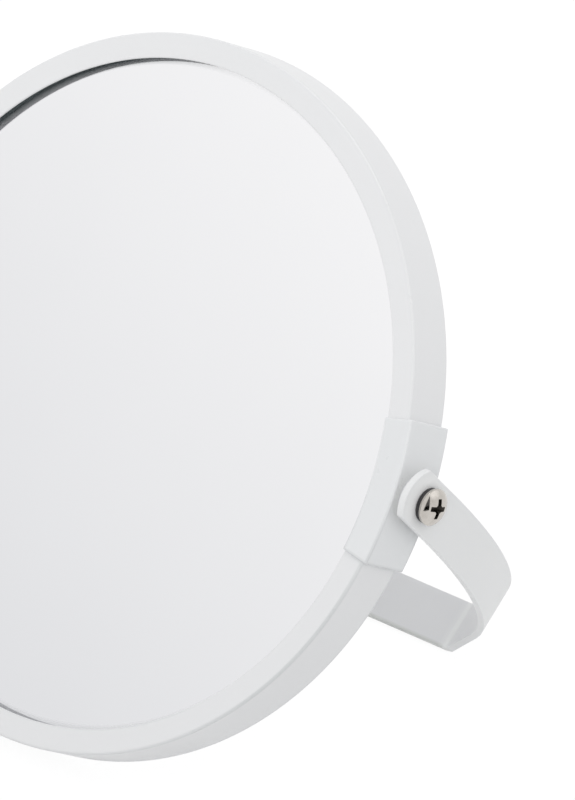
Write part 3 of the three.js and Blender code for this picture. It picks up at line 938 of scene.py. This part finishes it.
# Pivot clips, one on each side
def makeClip(label, side):
    half = radians(clip["spanDegrees"]) / 2
    inner = half - clip["endRound"] / clip["outer"]
    ends = [
        (half - rise / clip["outer"], clipSection(inset))
        for inset, rise in quarterRound(clip["endRound"], 5)
    ]
    stations = [(clipMiddle - reach, section) for reach, section in ends]
    for i in range(1, clip["steps"]):
        stations.append((clipMiddle - inner + 2 * inner * i / clip["steps"], clipSection(0)))
    stations += [(clipMiddle + reach, section) for reach, section in reversed(ends)]
    piece = sweepRound("pivotClip_" + label, stations, "clipWhite")
    bend, radius, face = pick(clip, "bossRound bossRadius bossFace")
    root = clip["outer"] - clip["wallSide"] / 2
    section = [(0, root), (radius, root)] + quarter(radius - bend, face - bend, bend, 0, 5) + [(0, face)]
    joinSolid(piece, turned("boss", section, clip["bossFacets"], "clipWhite", pivotLift @ zToPivotAxis), "UNION")
    drillPivot(piece, Matrix.Identity(4))
    piece.data.transform(side)
    finishPiece(piece, "pivot_clip_" + label)


# Screws, washers and plate nuts along the pivot axis
screw = millimetres(
    shankRadius=1.95, threadDepth=0.3, threadPitch=0.7, threadEnd=85.0, tip=80.59, tipLength=0.3,
    tipInset=0.4, headStart=92.1, headRadius=4.42, headHeight=2.4, headSide=0.8, headEdgeRound=0.25,
    halfSpan=2.9, halfBlade=0.625, recessHub=1.25, recessDepth=1.7, cutterRise=0.2,
) | {
    "facets": 96, "threadRows": 10, "headDome": 0.75, "headSteps": 24, "recessTurn": 9.0,
    "recessTaper": 0.45, "bladeTaper": 0.7, "hubFacets": 32,
}

washers = {
    "head_washer": millimetres(start=91.05, thickness=0.9, outer=4.2, bend=0.12) | {
        "piece": "headWasher_", "finish": "blackFibre", "slot": "black_rubber",
    },
    "spacer_washer": millimetres(start=87.1, thickness=1.7, outer=4.6, bend=0.12) | {
        "piece": "spacerWasher_", "finish": "naturalNylon", "slot": "pale_plastic",
    },
}

nutPlate = millimetres(inner=80.59, thickness=1.9, width=10, height=6.2, hole=2.2, cornerRound=0.6, edge=0.15)

recessTop = screw["headStart"] + screw["headHeight"] + screw["cutterRise"]


def recessBlade(turn):
    span, blade, depth, rise = pick(screw, "halfSpan halfBlade recessDepth cutterRise")
    taper, thin, low = screw["recessTaper"], screw["bladeTaper"], recessTop - depth - rise
    signs = ((-1, -1), (1, -1), (1, 1), (-1, 1))
    corners = [(span * x, blade * y, recessTop) for x, y in signs]
    corners += [(span * taper * x, blade * thin * y, low) for x, y in signs]
    faces = [(0, 1, 2, 3), (7, 6, 5, 4), (1, 0, 4, 5), (2, 1, 5, 6), (3, 2, 6, 7), (0, 3, 7, 4)]
    cutter = meshPiece("recess", corners, [], faces)
    cutter.data.transform(Matrix.Rotation(radians(turn), 4, "Z"))
    # the cutter's near-black painted shade passes to the faces it cuts
    cutter.data.materials.append(finishes["recessGrime"])
    faceOut(cutter)
    return cutter


# The shank's thread winds round it, fading out at both ends
def threadRadius(angle, height):
    shank, pitch, depth, tip, end = pick(screw, "shankRadius threadPitch threadDepth tip threadEnd")
    phase = (height / pitch - angle / (2 * pi)) % 1.0
    crest = 1 - abs(2 * phase - 1)
    fade = min(1.0, max(0.0, min(height - tip, end - height) / pitch))
    return shank - depth * (1 - crest) * fade


def headOutline():
    base, side, bend, radius = pick(screw, "headStart headSide headEdgeRound headRadius")
    rise, steps, power = screw["headHeight"] - side, screw["headSteps"], 2 * screw["headDome"]
    angles = [radians(90 * i / steps) for i in range(steps)]
    dome = [(radius * cos(angle), base + side + rise * sin(angle) ** power) for angle in angles]
    return quarter(radius - bend, base + bend, bend, 270, 5) + dome


def makeScrew(label, matrix):
    facets, shank, base, tip, end = pick(screw, "facets shankRadius headStart tip threadEnd")
    start = tip + screw["tipLength"]
    angles = [2 * pi * k / facets for k in range(facets)]
    rows = int((end - tip) / screw["threadPitch"] * screw["threadRows"])
    heights = [start + (end - start) * i / rows for i in range(rows + 1)]
    levels = [([shank - screw["tipInset"]] * facets, tip)]
    levels += [([threadRadius(angle, height) for angle in angles], height) for height in heights]
    levels += [([shank] * facets, base)] + [([radius] * facets, height) for radius, height in headOutline()]
    work = bmesh.new()
    rings = [
        [work.verts.new((r * cos(angle), r * sin(angle), height)) for r, angle in zip(radii, angles)]
        for radii, height in levels
    ]
    bridgeRings(work, rings)
    work.faces.new(rings[0])
    crown = work.verts.new((0, 0, base + screw["headHeight"]))
    for k in range(facets):
        work.faces.new((rings[-1][k], rings[-1][(k + 1) % facets], crown))
    piece = endMesh(work, "pivotScrew_" + label, "nickelPlate")
    for turn in (0, 90):
        joinSolid(piece, recessBlade(turn + screw["recessTurn"]), "DIFFERENCE")
    hub, low = screw["recessHub"], recessTop - screw["recessDepth"]
    section = [(0, low), (hub * screw["recessTaper"], low), (hub, recessTop), (0, recessTop)]
    # the hub's cut faces take the same near-black painted shade
    joinSolid(piece, turned("recessHub", section, screw["hubFacets"], "recessGrime"), "DIFFERENCE")
    finishPiece(piece, "pivot_screw_" + label, matrix, sharpDegrees=28)


def makeWasher(kind, label, matrix):
    size = washers[kind]
    start, thick, outer, bend = pick(size, "start thickness outer bend")
    inner, end = clip["hole"] + bend, start + thick
    section = (
        quarter(outer - bend, start + bend, bend, 270, 4)
        + quarter(outer - bend, end - bend, bend, 0, 4)
        + quarter(inner, end - bend, bend, 90, 4)
        + quarter(inner, start + bend, bend, 180, 4)
    )
    piece = turned(size["piece"] + label, section, screw["facets"], size["finish"])
    finishPiece(piece, kind + "_" + label, matrix)


def makeNutPlate(label, matrix):
    low, thick, bend = pick(nutPlate, "inner thickness cornerRound")
    halfWidth, halfHeight = nutPlate["width"] / 2, nutPlate["height"] / 2
    outline = []
    for x, y, start in ((1, 1, 0), (-1, 1, 90), (-1, -1, 180), (1, -1, 270)):
        outline += arc(x * (halfHeight - bend), y * (halfWidth - bend), bend, start, start + 90, 6)
    work = bmesh.new()
    face = work.faces.new([work.verts.new((x, y, low)) for x, y in outline])
    lifted = bmesh.ops.extrude_face_region(work, geom=[face])
    moved = [item for item in lifted["geom"] if isinstance(item, bmesh.types.BMVert)]
    bmesh.ops.translate(work, verts=moved, vec=(0, 0, thick))
    piece = endMesh(work, "nutPlate_" + label, "zincPlate")
    joinSolid(piece, rod(nutPlate["hole"], low - mm, low + thick + mm), "DIFFERENCE")
    modify(piece, "BEVEL", width=nutPlate["edge"], segments=3, limit_method="ANGLE", angle_limit=radians(60))
    finishPiece(piece, "nut_plate_" + label, matrix)


# Strap: a flat blank with round drilled ends, bent along its path
strap = millimetres(
    width=12.7, thickness=1.8, edgeRound=0.25, endRadius=8.4, cornerRound=0.3, hole=2.3, holeRound=0.15,
    armOuter=90.9, armStraight=6.8, arcRadius=104.6, reach=101.95, creaseRound=5.2, paleWidth=2.0,
    stationStep=1.5,
) | {
    "edgeSteps": 5, "holeFacets": 48, "rampDegrees": 43.3, "bendStepDegrees": 1.0,
    "creaseStepDegrees": 3.0, "bendSteps": 64,
}


def strapPath():
    ramp = radians(strap["rampDegrees"])
    sizes = pick(strap, "arcRadius creaseRound armOuter reach")
    bend, crease, arm, low = [size - strap["thickness"] / 2 for size in sizes]
    straight, bendTrim = strap["armStraight"], bend * tan(ramp / 2)
    cornerDrop = straight + bendTrim
    arcOut = strap["armOuter"] - strap["arcRadius"] + bend * cos(ramp)
    creaseAt = arcOut - (low - straight - bend * sin(ramp)) * tan(ramp)
    creaseTrim = crease * tan((pi / 2 - ramp) / 2)
    lengths = {
        "bar": creaseAt - creaseTrim,
        "crease": crease * (pi / 2 - ramp),
        "slope": hypot(arm - creaseAt, low - cornerDrop) - creaseTrim - bendTrim,
        "bend": bend * ramp,
        "arm": straight,
    }
    half = [((arm, strap["endRadius"] + mm), 0), ((arm, -cornerDrop), bend), ((creaseAt, -low), crease)]
    corners = [((-x, 0, z, 1), radius) for (x, z), radius in half]
    corners += [((x, 0, z, 1), radius) for (x, z), radius in reversed(half)]
    curve = bpy.data.curves.new("strapPath", "CURVE")
    curve.dimensions = "3D"
    spline = curve.splines.new("POLY")
    spline.points.add(len(corners) - 1)
    for point, (at, radius) in zip(spline.points, corners):
        point.co = at
        point.radius = radius
    return newPiece("strapPath", curve), lengths


def strapStations(lengths):
    ramp, station, creaseStep, bendStep = pick(strap, "rampDegrees stationStep creaseStepDegrees bendStepDegrees")
    steps = {"bar": lengths["bar"] / station, "crease": (90 - ramp) / creaseStep}
    steps |= {"slope": lengths["slope"] / station, "bend": ramp / bendStep}
    marks = [0.0]
    for run, wanted in steps.items():
        start, count = marks[-1], max(1, round(wanted))
        marks += [start + lengths[run] * (i + 1) / count for i in range(count)]
    return marks


def blankOutline(inset, marks, pivotAt):
    half, corner, end = strap["width"] / 2, strap["cornerRound"], strap["endRadius"]
    reach, cornerUp = end - corner, half - corner
    cornerOut = sqrt(reach ** 2 - cornerUp ** 2)
    meet = degrees(atan2(cornerUp, cornerOut))
    endArc = arc(pivotAt, 0, end - inset, -meet, meet, 28)
    upper = arc(pivotAt + cornerOut, cornerUp, corner - inset, meet, 90, 6)[1:]
    rightEnd = [(u, -v) for u, v in reversed(upper)] + endArc + upper
    topSide = [(u, half - inset) for u in reversed(marks)] + [(-u, half - inset) for u in marks[1:]]
    halfTurn = [(-u, -v) for u, v in rightEnd + topSide]
    return rightEnd + topSide + halfTurn, len(rightEnd)


# Marks the bend that gets the strap's painted highlight
def markBends(mesh, lengths):
    middle = lengths["bar"] + lengths["crease"] / 2
    layer = mesh.attributes.new("bendShare", "FLOAT", "POINT")
    for vertex, item in zip(mesh.vertices, layer.data):
        away = abs(abs(vertex.co.x) - middle) / strap["paleWidth"]
        item.value = max(0.0, 1 - away ** 4)


def roundedLevels(radius, steps):
    half = strap["thickness"] / 2
    levels = [(inset, -half + rise) for inset, rise in quarterRound(radius, steps)]
    return levels + [(inset, -height) for inset, height in reversed(levels)]


def makeStrap():
    path, lengths = strapPath()
    marks = strapStations(lengths)
    pivotAt = marks[-1] + lengths["arm"]
    work = bmesh.new()
    rings = []
    for inset, height in roundedLevels(*pick(strap, "edgeRound edgeSteps")):
        outline, endCount = blankOutline(inset, marks, pivotAt)
        rings.append([work.verts.new((u, v, height)) for u, v in outline])
    bridgeRings(work, rings)
    holes = []
    for end in (1, -1):
        drilled = []
        for inset, height in roundedLevels(strap["holeRound"], 4):
            circle = arc(end * pivotAt, 0, strap["hole"] + inset, 0, 360, strap["holeFacets"])[:-1]
            drilled.append([work.verts.new((u, v, height)) for u, v in circle])
        bridgeRings(work, drilled[::-1])
        holes.append(drilled)
    sideCount = 2 * len(marks) - 1
    bottomStart = 2 * endCount + sideCount
    for level in (0, -1):
        ring = rings[level]
        topRow = ring[endCount:endCount + sideCount]
        bottomRow = ring[bottomStart:bottomStart + sideCount][::-1]
        for k in range(sideCount - 1):
            work.faces.new((topRow[k], topRow[k + 1], bottomRow[k + 1], bottomRow[k]))
        rightLoop = ring[:endCount] + [topRow[0], bottomRow[0]]
        leftLoop = ring[endCount + sideCount:bottomStart] + [bottomRow[-1], topRow[-1]]
        for loop, drilled in ((rightLoop, holes[0][level]), (leftLoop, holes[1][level])):
            edges = []
            for chain in (loop, drilled):
                for first, second in zip(chain, chain[1:] + chain[:1]):
                    edges.append(work.edges.get((first, second)) or work.edges.new((first, second)))
            bmesh.ops.triangle_fill(work, use_beauty=True, edges=edges)
    piece = endMesh(work, "standStrap")
    markBends(piece.data, lengths)
    runTree(piece, bentTree, path, strap["bendSteps"], finishes["strapWhite"])
    bpy.data.objects.remove(path)
    finishPiece(piece, "stand_strap", strapPlace, "stand")


makeHoop()
makeBezel()
makeFrontGlass()
makeRearGlass()
makeFoam()
makeSpacerRing()
for label, side in sides.items():
    axisPlace = headPlace @ side @ zToPivotAxis
    makeClip(label, side)
    makeScrew(label, axisPlace)
    makeNutPlate(label, axisPlace)
    for kind in washers:
        makeWasher(kind, label, axisPlace)
makeStrap()
